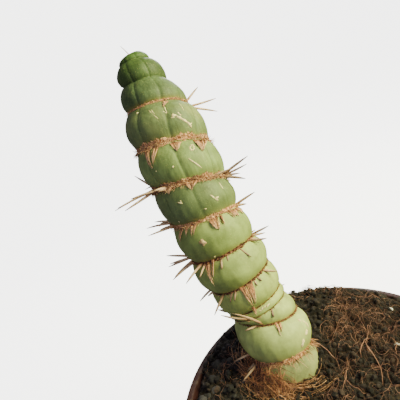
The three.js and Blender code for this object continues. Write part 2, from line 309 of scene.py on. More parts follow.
def rolledGrid(name, columns, rows, placeOf, attributesOf=None):
    # A flat grid rolled up: every corner moved to its place, then seams and poles merged
    shape = bmesh.new()
    bmesh.ops.create_grid(shape, x_segments=columns, y_segments=rows, size=1)
    mesh = bpy.data.meshes.new(name)
    shape.to_mesh(mesh)
    corners = np.empty(len(mesh.vertices) * 3)
    mesh.vertices.foreach_get("co", corners)
    flat = corners.reshape(-1, 3)
    column = np.round((flat[:, 0] + 1) / 2 * columns)
    row = np.round((flat[:, 1] + 1) / 2 * rows)
    mesh.vertices.foreach_set("co", placeOf(column, row).ravel())
    if attributesOf:
        for key, values in attributesOf(column, row).items():
            setAttribute(mesh, key, values)
    shape.clear()
    shape.from_mesh(mesh)
    bmesh.ops.remove_doubles(shape, verts=shape.verts, dist=2e-6)
    bmesh.ops.dissolve_degenerate(shape, edges=shape.edges, dist=1e-6)
    bmesh.ops.recalc_face_normals(shape, faces=shape.faces)
    shape.to_mesh(mesh)
    shape.free()
    return mesh


def makeStrands(name, paths, radii, tones, sides=4):
    # Tapered strands swept along their paths, with how far along and a tone for each corner
    count, points = paths.shape[:2]
    curve = bpy.data.curves.new(name, "CURVE")
    curve.dimensions = "3D"
    curve.bevel_depth = 1.0
    curve.bevel_resolution = sides // 2 - 2
    curve.use_fill_caps = False
    packed = np.concatenate([paths, np.ones((count, points, 1))], -1)
    for path, thickness in zip(packed, radii):
        spline = curve.splines.new("POLY")
        spline.points.add(points - 1)
        spline.points.foreach_set("co", path.ravel())
        spline.points.foreach_set("radius", thickness)
    swept = bpy.data.objects.new(name, curve)
    bpy.context.collection.objects.link(swept)
    mesh = evaluatedMesh(swept, name)
    bpy.data.objects.remove(swept)
    bpy.data.curves.remove(curve)
    perStrand = len(mesh.vertices) // count
    rings = np.repeat(np.linspace(0, 1, points), perStrand // points)
    setAttribute(mesh, "along", np.tile(rings, count))
    setAttribute(mesh, "tone", np.repeat(tones, perStrand))
    shape = bmesh.new()
    shape.from_mesh(mesh)
    openEdges = [edge for edge in shape.edges if edge.is_boundary]
    bmesh.ops.holes_fill(shape, edges=openEdges, sides=0)
    bmesh.ops.recalc_face_normals(shape, faces=shape.faces)
    shape.to_mesh(mesh)
    shape.free()
    return mesh


# Materials

def startMaterial(name, roughness):
    material = bpy.data.materials.new(name)
    material.use_nodes = True
    tree = material.node_tree
    shader = tree.nodes["Principled BSDF"]
    shader.inputs["Roughness"].default_value = roughness
    return material, tree, shader


def addNode(tree, kind, inputs=None, **settings):
    node = tree.nodes.new(kind)
    for key, value in settings.items():
        setattr(node, key, value)
    for key, value in (inputs or {}).items():
        if isinstance(value, bpy.types.NodeSocket):
            tree.links.new(value, node.inputs[key])
        else:
            node.inputs[key].default_value = value
    return node


def addNoise(tree, scale, detail=4.0, roughness=0.55, stretch=(1, 1, 1), distortion=0.0):
    place = addNode(tree, "ShaderNodeTexCoord").outputs["Object"]
    mapped = addNode(tree, "ShaderNodeMapping", {"Vector": place, "Scale": stretch})
    grain = addNode(tree, "ShaderNodeTexNoise", {
        "Vector": mapped.outputs["Vector"], "Scale": scale, "Detail": detail,
        "Roughness": roughness, "Distortion": distortion})
    return grain.outputs["Fac"]


def addRamp(tree, factor, stops, ease="LINEAR"):
    node = addNode(tree, "ShaderNodeValToRGB", {"Fac": factor})
    node.color_ramp.interpolation = ease
    while len(node.color_ramp.elements) < len(stops):
        node.color_ramp.elements.new(0.5)
    for element, (place, color) in zip(node.color_ramp.elements, stops):
        element.position = place
        element.color = (*color, 1) if isinstance(color, tuple) else (color, color, color, 1)
    return node.outputs["Color"]


def addMix(tree, factor, first, second, way="MIX"):
    node = addNode(tree, "ShaderNodeMix", data_type="RGBA", blend_type=way)
    colors = [socket for socket in node.inputs if socket.type == "RGBA"]
    for socket, value in ((node.inputs[0], factor), (colors[0], first), (colors[1], second)):
        if isinstance(value, bpy.types.NodeSocket):
            tree.links.new(value, socket)
        elif isinstance(value, tuple):
            socket.default_value = (*value, 1)
        else:
            socket.default_value = value
    return [socket for socket in node.outputs if socket.type == "RGBA"][0]


def addMath(tree, operation, first, second=0.5):
    node = addNode(tree, "ShaderNodeMath", {0: first, 1: second}, operation=operation)
    return node.outputs[0]


def addAttribute(tree, name):
    return addNode(tree, "ShaderNodeAttribute", attribute_name=name).outputs["Fac"]


def varied(tree, color, factor, stops, share=1.0):
    # The colour made lighter and darker by a factor
    return addMix(tree, share, color, addRamp(tree, factor, stops), "MULTIPLY")


def tinted(tree, color, amount, share, tint):
    return addMix(tree, addMath(tree, "MULTIPLY", amount, share), color, tint)


def finishMaterial(tree, shader, color, height, strength, distance):
    tree.links.new(color, shader.inputs["Base Color"])
    bump = addNode(tree, "ShaderNodeBump", {"Height": height, "Strength": strength, "Distance": distance})
    tree.links.new(bump.outputs["Normal"], shader.inputs["Normal"])


skinLook = {
    "bands": [   # colour by turn, from the soil up
        (0.75, (0.33, 0.37, 0.150)), (1.75, (0.45, 0.55, 0.180)), (4.5, (0.44, 0.54, 0.150)),
        (5.75, (0.35, 0.45, 0.130)), (6.75, (0.27, 0.36, 0.100)), (7.75, (0.150, 0.205, 0.078)),
        (8.75, (0.23, 0.32, 0.105)), (9.75, (0.140, 0.198, 0.080)), (10.75, (0.092, 0.140, 0.058)),
        (11.75, (0.057, 0.100, 0.028)), (12.75, (0.060, 0.130, 0.027))],
    "bandStep": 0.85,     # how much of the colour change falls at the groove
    "edge": (0.50, 0.36, 0.07),
    "pale": (0.58, 0.60, 0.20),
    # painted shade: colour for the creases and the bare grooves
    "crease": (0.05, 0.09, 0.025),
    # painted shade: darker green at the foot of each band, under its bulge
    "under": (0.09, 0.13, 0.035),
    "roughness": 0.55,
    "gloss": 0.25,
}


def makeSkinMaterial():
    material, tree, shader = startMaterial("cactusSkin", skinLook["roughness"])
    rise = addAttribute(tree, "rise")
    span = stem["lastTurn"] - stem["firstTurn"]
    base = addRamp(tree, rise, [((turn - stem["firstTurn"]) / span, color)
                                for turn, color in skinLook["bands"]])
    cloudy = addNoise(tree, 85, 5, 0.6)
    base = varied(tree, base, cloudy, [(0.3, 0.6), (0.72, 1.3)], 0.9)
    streaks = addNoise(tree, 700, 3, 0.5, (1, 1, 0.07))
    striped = addRamp(tree, rise, [(0.55, 0.15), (0.72, 0.8)])
    base = varied(tree, base, streaks, [(0.35, 0.72), (0.65, 1.16)], striped)
    blotch = addRamp(tree, addNoise(tree, 34, 3, 0.5), [(0.55, 0.0), (0.75, 1.0)])
    base = tinted(tree, base, blotch, 0.3, skinLook["pale"])
    # painted shade at the foot of each band, from the under attribute
    base = tinted(tree, base, addAttribute(tree, "under"), 0.3, skinLook["under"])
    ragged = addNoise(tree, 300, 4, 0.7)
    for edge, least, tint in (("lowEdge", 0.25, "edge"), ("upEdge", 0.2, "pale")):
        amount = addMath(tree, "ADD", ragged, least)
        base = tinted(tree, base, addAttribute(tree, edge), amount, skinLook[tint])
    # painted shade in the creases and in the bare grooves above the wool
    base = tinted(tree, base, addAttribute(tree, "crease"), 0.55, skinLook["crease"])
    for scale, share in ((1900, 0.28), (950, 0.22)):
        specks = addRamp(tree, addNoise(tree, scale, 2, 0.5), [(0.63, 0.0), (0.72, 1.0)])
        base = tinted(tree, base, specks, share, skinLook["pale"])
    shader.inputs["Specular IOR Level"].default_value = skinLook["gloss"]
    fine = addNoise(tree, 900, 5, 0.6)
    grain = addMath(tree, "ADD", fine, addMath(tree, "MULTIPLY", streaks, striped))
    finishMaterial(tree, shader, base, grain, 0.2, 0.0003)
    return material


def makeStrandMaterial(name, alongStops, toneStops, roughness):
    # Colour along each strand, lighter or darker from strand to strand
    material, tree, shader = startMaterial(name, roughness)
    color = addRamp(tree, addAttribute(tree, "along"), alongStops)
    color = varied(tree, color, addAttribute(tree, "tone"), toneStops)
    color = varied(tree, color, addNoise(tree, 700, 3), [(0.3, 0.7), (0.7, 1.2)])
    finishMaterial(tree, shader, color, addNoise(tree, 2500, 2), 0.3, 0.0002)
    return material


def addStrands(name, paths, radii, tones, material, sides=4):
    addPiece(name, makeStrands(name, paths, radii, tones, sides), material)


woolPaleness = [(0.0, (0.22, 0.16, 0.15)), (1.0, (1.0, 1.0, 1.0))]


def makeWoolMaterial():
    material, tree, shader = startMaterial("areoleWool", 0.92)
    crumbs = addNoise(tree, 900, 6, 0.7)
    color = addRamp(tree, crumbs, [
        (0.32, (0.08, 0.030, 0.016)), (0.42, (0.42, 0.18, 0.085)),
        (0.51, (0.84, 0.44, 0.20)), (0.65, (0.98, 0.70, 0.40))])
    color = varied(tree, color, addNoise(tree, 190, 3, 0.6), [(0.33, 0.45), (0.6, 1.15)])
    color = varied(tree, color, addAttribute(tree, "paleness"), woolPaleness)
    finishMaterial(tree, shader, color, crumbs, 1.0, 0.0009)
    return material


def makeSoilMaterial():
    material, tree, shader = startMaterial("darkSoil", 0.95)
    grains = addNoise(tree, 420, 6, 0.65)
    color = addRamp(tree, grains, [
        (0.30, (0.003, 0.002, 0.0015)), (0.50, (0.010, 0.0065, 0.0045)),
        (0.63, (0.028, 0.017, 0.010)), (0.76, (0.09, 0.055, 0.030))])
    color = varied(tree, color, addNoise(tree, 40, 3), [(0.35, 0.55), (0.65, 1.15)])
    finishMaterial(tree, shader, color, grains, 1.0, 0.0015)
    return material


def makeStoneMaterial(name, stops, grainScale):
    material, tree, shader = startMaterial(name, 0.85)
    grain = addNoise(tree, grainScale, 5, 0.6)
    color = addRamp(tree, addAttribute(tree, "tone"), stops)
    color = varied(tree, color, grain, [(0.3, 0.55), (0.7, 1.25)])
    finishMaterial(tree, shader, color, grain, 0.6, 0.0005)
    return material


def makePotMaterial():
    material, tree, shader = startMaterial("maroonPlastic", 0.42)
    cloudy = addNoise(tree, 28, 4)
    color = addRamp(tree, cloudy, [(0.3, (0.030, 0.011, 0.012)), (0.7, (0.048, 0.018, 0.018))])
    dust = addRamp(tree, addNoise(tree, 160, 6, 0.7), [(0.52, 0.0), (0.78, 1.0)])
    height = addNode(tree, "ShaderNodeSeparateXYZ", {
        "Vector": addNode(tree, "ShaderNodeTexCoord").outputs["Object"]}).outputs["Z"]
    nearRim = addNode(tree, "ShaderNodeMapRange", {
        "Value": height, "From Min": rimHeight - 0.012, "From Max": rimHeight}).outputs["Result"]
    dusty = addMath(tree, "MULTIPLY", dust, addMath(tree, "ADD", nearRim, 0.25))
    color = tinted(tree, color, dusty, 0.5, (0.14, 0.095, 0.07))
    gloss = addRamp(tree, dusty, [(0.0, 0.36), (0.8, 0.75)])
    tree.links.new(gloss, shader.inputs["Roughness"])
    scuffs = addNoise(tree, 240, 4, 0.6, (1, 1, 0.35))
    finishMaterial(tree, shader, color, scuffs, 0.12, 0.0006)
    return material


# Skin of the stem

skin = {
    "columns": 224, "rowsPerTurn": 26, "lump": 0.0001,
    "woolEnds": (10.6, 11.0),      # above it the grooves are bare, with painted shade in them
    "underShadeWidth": 0.24, "lowEdgeWidth": 0.05, "upEdgeWidth": 0.035,     # shares of a band
    # painted shade in the creases: its sharpness, its share on the lower bands and the turns over which
    # it grows
    "creaseSharpness": 260, "faintCreaseShade": 0.15, "creasesStart": (6.6, 8.2),
    "lumps": ((1, 0.02, 3), (0.3, 0.008, 4)),      # share, size in metres and seed
    "lumpsStart": (-0.9, -0.4), "lumpsEnd": (13.0, 13.4),
}


def softNoise(points, scale, seed, waves=10):
    # Smooth lumps from a few crossing waves
    draw = np.random.default_rng(seed)
    total = np.zeros(points.shape[:-1])
    for _ in range(waves):
        way = draw.normal(size=3) / scale
        total += np.sin(points @ way * fullTurn + draw.uniform(0, fullTurn))
    return total / math.sqrt(waves)


def layeredNoise(points, layers):
    return sum(share * softNoise(points, size, seed) for share, size, seed in layers)


def makeSkin():
    columns, perTurn = skin["columns"], skin["rowsPerTurn"]
    turns = math.ceil(stem["lastTurn"]) + 1 - stem["firstTurn"]

    def place(column, row):
        turn = np.clip(stem["firstTurn"] + row / perTurn - column / columns,
                       stem["firstTurn"], stem["lastTurn"])
        isPole = (turn == stem["firstTurn"]) | (turn == stem["lastTurn"])
        return turn, np.where(isPole, 0, column / columns * fullTurn)

    def points(column, row):
        turn, azimuth = place(column, row)
        lumps = layeredNoise(skinPoint(turn, azimuth), skin["lumps"])
        ends = smoothstep(turn, *skin["lumpsStart"]) * (1 - smoothstep(turn, *skin["lumpsEnd"]))
        return skinPoint(turn, azimuth, skin["lump"] * lumps * ends)

    def attributes(column, row):
        turn, azimuth = place(column, row)
        share = bandShare(turn + 1e-6, azimuth)
        span = stem["lastTurn"] - stem["firstTurn"]
        wooled = 1 - smoothstep(turn, *skin["woolEnds"])
        toEdge = np.minimum(share, 1 - share)
        faint = skin["faintCreaseShade"]
        creased = faint + (1 - faint) * smoothstep(turn, *skin["creasesStart"])
        creased = creased * creaseAt(turn, azimuth) ** skin["creaseSharpness"] * np.sin(np.pi * share)
        return {
            "rise": (turn - skinLook["bandStep"] * (share - 0.5) - stem["firstTurn"]) / span,
            # under: painted shade at the foot of each band
            "under": np.exp(-((share / skin["underShadeWidth"]) ** 2)),
            "lowEdge": np.exp(-share / skin["lowEdgeWidth"]) * wooled,
            "upEdge": np.exp(-(1 - share) / skin["upEdgeWidth"]) * wooled,
            # crease: painted shade in the creases and in the bare grooves
            "crease": np.maximum(creased, np.exp(-toEdge / skin["upEdgeWidth"]) * (1 - wooled)),
        }

    mesh = rolledGrid("cactusSkin", columns, int(turns * perTurn), points, attributes)
    piece = addPiece("cactusSkin", mesh, makeSkinMaterial())
    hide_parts("stem")


# Wool in the groove, with its half width in turns, a turn apart

wool = {
    "first": 1.1,
    "last": 10.75,
    "stepsPerTurn": 400,
    "sectionSteps": 9,
    "halfWidths": [0.05, 0.06, 0.03, 0.018, 0.018, 0.03, 0.035, 0.045, 0.075, 0.085, 0.05, 0.004, 0.004],
    "ends": (60, 0.2),      # steps over which it widens, and the share it starts from
    "proud": 0.0004,
    "middle": 1.2,          # times proud, in the middle, and one less at the edges
    "crumb": 0.0003,
    "edgeLumps": ((0.32, 0.006, 21), (0.2, 0.0022, 25)),      # share, size in metres and seed
    "thickLumps": ((0.3, 0.01, 22),),
    "crumbLumps": ((1, 0.0026, 23), (0.8, 0.0012, 24)),
    "deepest": -0.6,
    "innerLift": 0.0004,
    "endLift": 0.0006,
    "paleTurns": (6.5, 7.15),
    "lowPaleTurns": (1.7, 1.4),
    "brownTurn": 8.25,
    "brownWidth": 0.45,
    "brownShare": 0.5,
}
woolHalfWidth = turnCurve(wool["halfWidths"], 0)


def woolTone(turn):
    # Pale in the upper grooves and in the lowest, brown between and in one of the upper ones
    low = 1 - smoothstep(turn, *wool["lowPaleTurns"][::-1])
    brown = wool["brownShare"] * np.exp(-((turn - wool["brownTurn"]) / wool["brownWidth"]) ** 2)
    return np.maximum(smoothstep(turn, *wool["paleTurns"]) * (1 - brown), low)


def makeWool():
    steps = int((wool["last"] - wool["first"]) * wool["stepsPerTurn"])
    sides = wool["sectionSteps"] + 3

    def points(column, row):
        step = np.clip(row - 1, 0, steps)
        turn = wool["first"] + step / wool["stepsPerTurn"]
        azimuth = grooveAzimuth(turn)
        widening, start = wool["ends"]
        ends = np.clip(np.minimum(step, steps - step) / widening + start, 0, 1)
        half = woolHalfWidth(turn) * ends
        across = 1 - 2 * np.clip(column / wool["sectionSteps"], 0, 1)
        isInner = (column > wool["sectionSteps"]) & (column < sides)
        middle = skinPoint(turn, azimuth)
        offset = -across * half * (1 + layeredNoise(middle, wool["edgeLumps"]))
        bulge = wool["proud"] * (wool["middle"] - across**2)
        bulge = bulge * (1 + layeredNoise(middle, wool["thickLumps"]))
        crumbs = layeredNoise(skinPoint(turn + offset, azimuth, bulge), wool["crumbLumps"])
        bulge = bulge + wool["crumb"] * np.maximum(crumbs, wool["deepest"])
        inner = skinPoint(turn, azimuth, wool["innerLift"])
        result = np.where(isInner[:, None], inner, skinPoint(turn + offset, azimuth, bulge))
        isEnd = (row == 0) | (row == steps + 2)
        return np.where(isEnd[:, None], skinPoint(turn, azimuth, wool["endLift"]), result)

    def attributes(column, row):
        turn = wool["first"] + np.clip(row - 1, 0, steps) / wool["stepsPerTurn"]
        return {"paleness": woolTone(turn)}

    mesh = rolledGrid("grooveWool", sides, steps + 2, points, attributes)
    piece = addPiece("grooveWool", mesh, makeWoolMaterial())
    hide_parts("wool_and_spines")


# Strands and marks that lie on the skin, set by their pixels in the photo

def layOnSkin(startPixel, endPixel, lifts, bow=0.0):
    # Path along the skin between two pixels; lifts in metres, one for each point
    (turnA, azimuthA), (turnB, azimuthB) = skinPlaceAt(startPixel), skinPlaceAt(endPixel)
    swing = (azimuthB - azimuthA + math.pi) % fullTurn - math.pi
    t = np.linspace(0, 1, len(lifts))
    bend = bow * np.sin(np.pi * t)
    return skinPoint(turnA + (turnB - turnA) * t, azimuthA + swing * t + bend, np.array(lifts))


def spinePath(root, tip, bow, points=6):
    t = np.linspace(0, 1, points)[:, None]
    return root + (tip - root) * t + np.asarray(bow) * (t - t * t) * 4


# Spines: those that the photo shows go from pixel to pixel, the others follow the rule

spines = {
    "seed": 5,
    "roots": (0.9, 11.4, 400),      # of the seen ones: first and last turn, and places per turn
    "facing": -0.25,       # how far their roots face the camera, at least
    "seen": [
        ((156, 190), (115, 211)), ((156, 188), (118, 208)), ((158, 189), (131, 199)),
        ((157, 191), (125, 211)), ((159, 187), (139, 196)), ((167, 184), (153, 191)),
        ((141.5, 176.4), (134.5, 175.9)), ((176.3, 222), (154.5, 222)), ((176, 223.5), (146.8, 228.4)),
        ((176, 225), (148, 236)), ((175, 226), (160, 230)), ((179.8, 249.4), (166.5, 255.7)),
        ((186, 256.4), (168.6, 267)), ((189, 258), (170, 264)), ((193, 260), (175, 276.8)),
        ((195, 262), (173, 280)), ((203, 262.7), (186, 283.8)), ((205.7, 264), (199.4, 278.2)),
        ((208.5, 290), (200, 301.3)), ((212.7, 293), (207.8, 296.4)), ((223.8, 293.6), (214.5, 315.3)),
        ((230, 314.5), (218, 309.7)), ((250, 320.3), (220.8, 315.3)), ((264, 324.6), (232, 313.6)),
        ((258.3, 324.5), (245, 330.8)), ((222.3, 172.1), (247.8, 155.8)),
        ((222.3, 172.1), (246.7, 163.9)), ((222.3, 172.1), (240.2, 173.1)),
        ((221, 173), (245.6, 178.6)), ((212, 176), (232, 168)), ((188.1, 101.6), (197.9, 86.9)),
        ((199.5, 106.4), (215.8, 98.3)), ((192.5, 106.4), (217.4, 111.3)),
        ((236.6, 203.8), (254.8, 191.9)), ((236, 205), (246.4, 203.8)), ((251.3, 232.6), (268.8, 225.6)),
        ((252, 235.4), (265.3, 232.6)), ((247.8, 240.3), (266.7, 238.2)), ((249, 238.5), (262, 239.5)),
        ((240, 251), (251.3, 257.1)), ((236.6, 253), (240.8, 255.7)), ((261.8, 269.8), (277.3, 271.2)),
        ((256.9, 277), (261.8, 281)), ((253.4, 279.2), (257.6, 285.9)), ((221.9, 258.5), (221.9, 269.8)),
        ((228.2, 255.7), (228.2, 262.7)), ((235.9, 290.8), (234.5, 301.3)),
        ((231.7, 293.6), (230.3, 302.7)), ((272.4, 309.7), (273.8, 317.4)),
        ((246.4, 355.3), (233.2, 362.3)), ((259, 360.9), (242.2, 382)), ((256, 362), (246, 372)),
        ((151.8, 175.3), (157.8, 186.2)), ((162, 182), (174, 186)), ((169, 187), (158, 192)),
    ],
    "lengths": [8, 10, 14, 13, 12, 15, 18, 20, 28, 24, 17, 12],   # mm, a turn apart from turn 0
    "firstTurn": 1.25,
    "lastTurn": 10.9,
    "perTurn": 8,
    "each": (3, 6),
    "radius": (0.0007, 0.00095),
    "sunk": 0.0006,
    "tones": (0, 0.85),
    "nearer": (-0.1, 0.15),      # how much nearer the tips of the seen ones are, by their length
    "outward": 0.55,
    "bowUp": (-0.03, 0.05),
    "bowAhead": (-0.03, 0.03),
    "astray": 0.2,         # of an areole, as a share of the way to the next
    "spread": 0.6,
    "spreadStray": 0.18,
    "lift": 0.25,
    "liftStray": 0.45,
    "sideShorter": 0.35,
    "lengthShares": (0.7, 1.05),
    "bow": 0.02,
    "bent": 1.3,
    "hidden": -0.35,       # by rule only where the skin faces this far away from the camera
    "combed": -0.75,       # from here on they bend behind the stem
    "shadedSide": 215,     # pixels: to the left of it, in the stem's shade, the seen spines get painted light, a paler tone
    "paintedLightTone": 0.95,
    "top": {"root": (127.5, 52), "tip": (120, 46), "sunk": 0.0004, "bow": 0.0003, "radius": 0.0003,
            "taper": (1.0, 1.0, 0.9, 0.8, 0.6, 0.2), "tone": 0.8},
}
spineLength = turnCurve(spines["lengths"], 0)
spineTaper = (1.0, 1.05, 1.0, 0.9, 0.68, 0.2)
spineTones = [(0.0, (0.5, 0.45, 0.45)), (0.5, (0.9, 0.85, 0.8)), (1.0, (1.75, 1.7, 1.6))]
spineStops = [
    (0.0, (0.20, 0.075, 0.030)), (0.16, (0.40, 0.22, 0.11)), (0.5, (0.56, 0.40, 0.25)),
    (0.8, (0.36, 0.24, 0.15)), (1.0, (0.10, 0.062, 0.045))]


def towardsCamera(turn, azimuth):
    out = skinFrame(turn, azimuth)[0]
    return np.sum(out * unit(cameraPlace - skinPoint(turn, azimuth)), axis=-1)


def raiseTo(pixel, depth):
    # Point at a pixel and a depth
    x, y = np.array(pixel) - shot["pixels"] / 2
    return cameraPlace + (ahead + (x * frameRight - y * frameUp) / focalPixels) * depth


def makeSpines():
    draw = np.random.default_rng(spines["seed"])
    firstTurn, lastTurn, perTurn = spines["roots"]
    turn = np.arange(firstTurn, lastTurn, 1 / perTurn)
    turn = turn[towardsCamera(turn, grooveAzimuth(turn)) > spines["facing"]]
    azimuth = grooveAzimuth(turn)
    pixels, depths = toPhoto(skinPoint(turn, azimuth))
    paths, radii, tones = [], [], []

    # paleness is a least tone: painted light for the seen spines on the shaded side
    def add(root, tip, bow, paleness=0.0):
        paths.append(spinePath(root, tip, bow))
        radii.append(draw.uniform(*spines["radius"]) * np.array(spineTaper))
        tones.append(max(draw.uniform(*spines["tones"]), paleness))

    def stray(key):
        return draw.uniform(-spines[key], spines[key])

    for rootPixel, tipPixel in spines["seen"]:
        near = np.argmin(np.hypot(*(pixels - rootPixel).T))
        faces = towardsCamera(turn[near], azimuth[near])
        root = skinPoint(turn[near], azimuth[near], -spines["sunk"])
        span = np.hypot(*np.subtract(tipPixel, rootPixel)) / focalPixels * depths[near]
        nearer = span * (draw.uniform(*spines["nearer"]) + spines["outward"] * max(faces, 0))
        bow = frameUp * draw.uniform(*spines["bowUp"]) + ahead * draw.uniform(*spines["bowAhead"])
        # painted light: seen spines on the shaded side are made paler
        paleness = spines["paintedLightTone"] if rootPixel[0] < spines["shadedSide"] else 0
        add(root, raiseTo(tipPixel, depths[near] - nearer), bow * span, paleness)

    count = int((spines["lastTurn"] - spines["firstTurn"]) * spines["perTurn"])
    for areole in range(count):
        turnAt = spines["firstTurn"] + (areole + stray("astray")) / spines["perTurn"]
        around = grooveAzimuth(turnAt)
        faces = towardsCamera(turnAt, around)
        if faces > spines["hidden"]:
            continue
        bent = spines["bent"] * smoothstep(faces, spines["combed"], spines["hidden"])
        out, roundWay = skinFrame(turnAt, around)[:2]
        axis = unit(alongLine(axisLine, heightAt(turnAt, around)))
        root = skinPoint(turnAt, around, -spines["sunk"])
        bunch = draw.integers(*spines["each"], endpoint=True)
        for place in np.linspace(-1, 1, bunch):
            angle = spines["spread"] * place + stray("spreadStray")
            lift = spines["lift"] + stray("liftStray")
            way = out * math.cos(angle) + roundWay * math.sin(angle) + axis * lift
            way = unit(way + bent * ahead)
            long = spineLength(turnAt) * mm * (1 - spines["sideShorter"] * abs(place))
            long = long * draw.uniform(*spines["lengthShares"])
            add(root, root + way * long, draw.normal(size=3) * spines["bow"] * long)

    top = spines["top"]
    root = skinPoint(*skinPlaceAt(top["root"]), -top["sunk"])
    depth = float(toPhoto(root)[1])
    paths.append(spinePath(root, raiseTo(top["tip"], depth), (0, 0, top["bow"])))
    radii.append(top["radius"] * np.array(top["taper"]))
    tones.append(top["tone"])

    horn = makeStrandMaterial("spineHorn", spineStops, spineTones, 0.5)
    addStrands("spines", np.array(paths), radii, tones, horn, sides=6)


def leaningWays(draw, turn, azimuth, look):
    # Directions off the skin, spread round and up, and hanging by the drop
    out, roundWay, upWay = skinFrame(turn, azimuth)
    lean = draw.normal(size=(len(turn), 2)) * look["spread"] + (0, -look["drop"])
    return unit(out * look["outward"] + roundWay * lean[:, :1] + upWay * lean[:, 1:])


# Fibres of the wool, standing out of the groove

tufts = {
    "seed": 12,
    "turnLength": 130,      # mm, about
    "perMm": 8.0,
    "bareEnds": (0.05, 0.1),
    "thickAt": 0.07,        # half width of the wool, in turns, from which they stand thick
    "thinShare": 0.15,
    "longAt": 0.06,
    "longShares": (0.5, 1.15),
    "across": (-1.1, 0.6),
    "rootLift": 0.0003,
    "outward": 0.7,
    "spread": (0.8, 0.6),
    "drop": 0.75,
    "length": (0.0010, 0.0036),
    "radius": (0.00007, 0.00015),
    "curl": 0.18,
    "taper": (1.0, 1.0, 0.8, 0.35),
    "brownTone": 0.6,       # share of the tone that the brown wool keeps
}
woolStops = [
    (0.0, (0.42, 0.17, 0.085)), (0.35, (0.70, 0.37, 0.18)), (1.0, (0.95, 0.66, 0.38))]
woolTones = [(0.0, (0.16, 0.12, 0.11)), (0.5, (0.80, 0.75, 0.72)), (1.0, (1.2, 1.2, 1.2))]


def makeWoolFibres():
    draw = np.random.default_rng(tufts["seed"])
    perTurn = tufts["turnLength"] * tufts["perMm"]
    bareStart, bareEnd = tufts["bareEnds"]
    turn = np.arange(wool["first"] + bareStart, wool["last"] - bareEnd, 1 / perTurn)
    turn = turn + draw.uniform(-0.5, 0.5, len(turn)) / perTurn
    kept = np.clip(woolHalfWidth(turn) / tufts["thickAt"], tufts["thinShare"], 1)
    turn = turn[draw.uniform(0, 1, len(turn)) < kept]
    azimuth = grooveAzimuth(turn)
    half = woolHalfWidth(turn)
    offset = draw.uniform(*tufts["across"], len(turn)) * half
    root = skinPoint(turn + offset, azimuth, tufts["rootLift"])
    way = leaningWays(draw, turn + offset, azimuth, tufts)
    long = draw.uniform(*tufts["length"], len(turn))
    long = long * np.clip(half / tufts["longAt"], *tufts["longShares"])
    curl = draw.normal(size=(len(turn), 3)) * tufts["curl"] * long[:, None]
    t = np.linspace(0, 1, len(tufts["taper"]))[None, :, None]
    paths = root[:, None] + way[:, None] * long[:, None, None] * t + curl[:, None] * (t * t)
    radii = draw.uniform(*tufts["radius"], len(turn))[:, None] * np.array(tufts["taper"])
    brown = tufts["brownTone"]
    tones = draw.uniform(0, 1, len(turn)) * (brown + (1 - brown) * woolTone(turn))
    fibre = makeStrandMaterial("woolFibre", woolStops, woolTones, 0.8)
    addStrands("woolFibres", paths, radii, tones, fibre)


# Tufts that hang from the groove into the creases below: top left, top right and tip

hanging = {
    "wedges": [
        ((145.3, 150), (151, 150.5), (152.9, 168.8)), ((154.5, 150), (158.5, 148.6), (153.3, 165)),
        ((170.8, 145), (181, 143.6), (176.8, 151)), ((194, 141.7), (205.5, 142.4), (202.8, 151)),
        ((187, 185), (197, 182), (192, 190)), ((166.5, 189), (172.5, 188), (169.3, 194)),
        ((181.5, 229), (184, 228), (180.5, 241.7)), ((186.5, 227.7), (189, 227), (186.1, 238.2)),
        ((190.5, 226.6), (193, 226), (191.7, 235.4)), ((194.5, 226.6), (197, 225.4), (193.8, 235.4)),
        ((210.5, 222), (214, 220.6), (218.4, 229.8)), ((214.5, 220), (217, 219), (219, 229)),
        ((219, 218), (222, 217), (224.4, 225.4)), ((228, 213), (232, 211.5), (235, 217.6)),
        ((231, 212), (235, 210.6), (239.4, 216.5)), ((205.5, 264.5), (209, 263.4), (214.1, 284.5)),
        ((211.5, 262), (214, 261.4), (213.6, 280)), ((241, 289.6), (246, 287.6), (253, 305.6)),
        ((247.4, 287), (252.4, 284.6), (255.4, 303.4)), ((252, 309.8), (255, 309), (256.6, 314.6)),
        ((274.2, 324.6), (277, 324.4), (280.8, 335)), ((278.4, 324.6), (280.6, 324), (281.4, 333)),
        ((163, 103), (167, 103), (162.5, 107.5)), ((236, 210), (239, 208), (243, 214)),
    ],
    "seed": 8,
    "strandsPerPixel": 3.6,
    "fewest": 4,
    "reachUp": 2.2,       # pixels, so that they start in the wool
    "reach": (0.6, 1.05),
    "stray": 0.35,        # pixels
    "bow": 0.012,
    "lifts": (0.4, 1.0, 1.25, 1.1, 0.5),
    "taper": (0.9, 1.1, 1.0, 0.8, 0.3),
    "middleTone": 0.3,
    "edgeTones": 1.6,
    "toneStray": (-0.3, 0.25),
    "radius": (0.00014, 0.0003),
    "lift": (0.0004, 0.0013),
}


def makeHangingTufts():
    draw = np.random.default_rng(hanging["seed"])
    paths, radii, tones = [], [], []
    for topLeft, topRight, tip in hanging["wedges"]:
        across = np.subtract(topRight, topLeft)
        count = max(hanging["fewest"], int(np.hypot(*across) * hanging["strandsPerPixel"]))
        for share in draw.uniform(0, 1, count):
            start = np.array(topLeft) + across * share
            start = start + unit(start - tip) * hanging["reachUp"]
            reach = draw.uniform(*hanging["reach"])
            end = start + (np.array(tip) - start) * reach + draw.normal(size=2) * hanging["stray"]
            lifts = draw.uniform(*hanging["lift"]) * np.array(hanging["lifts"])
            paths.append(layOnSkin(start, end, lifts, draw.normal() * hanging["bow"]))
            radii.append(draw.uniform(*hanging["radius"]) * np.array(hanging["taper"]))
            tone = hanging["middleTone"] + hanging["edgeTones"] * abs(share - 0.5)
            tones.append(np.clip(tone + draw.uniform(*hanging["toneStray"]), 0, 1))
    fibre = makeStrandMaterial("hangingWool", woolStops, woolTones, 0.75)
    addStrands("hangingTufts", np.array(paths), radii, tones, fibre)


# Corky scars on the skin: pixels along each, and its half width in mm

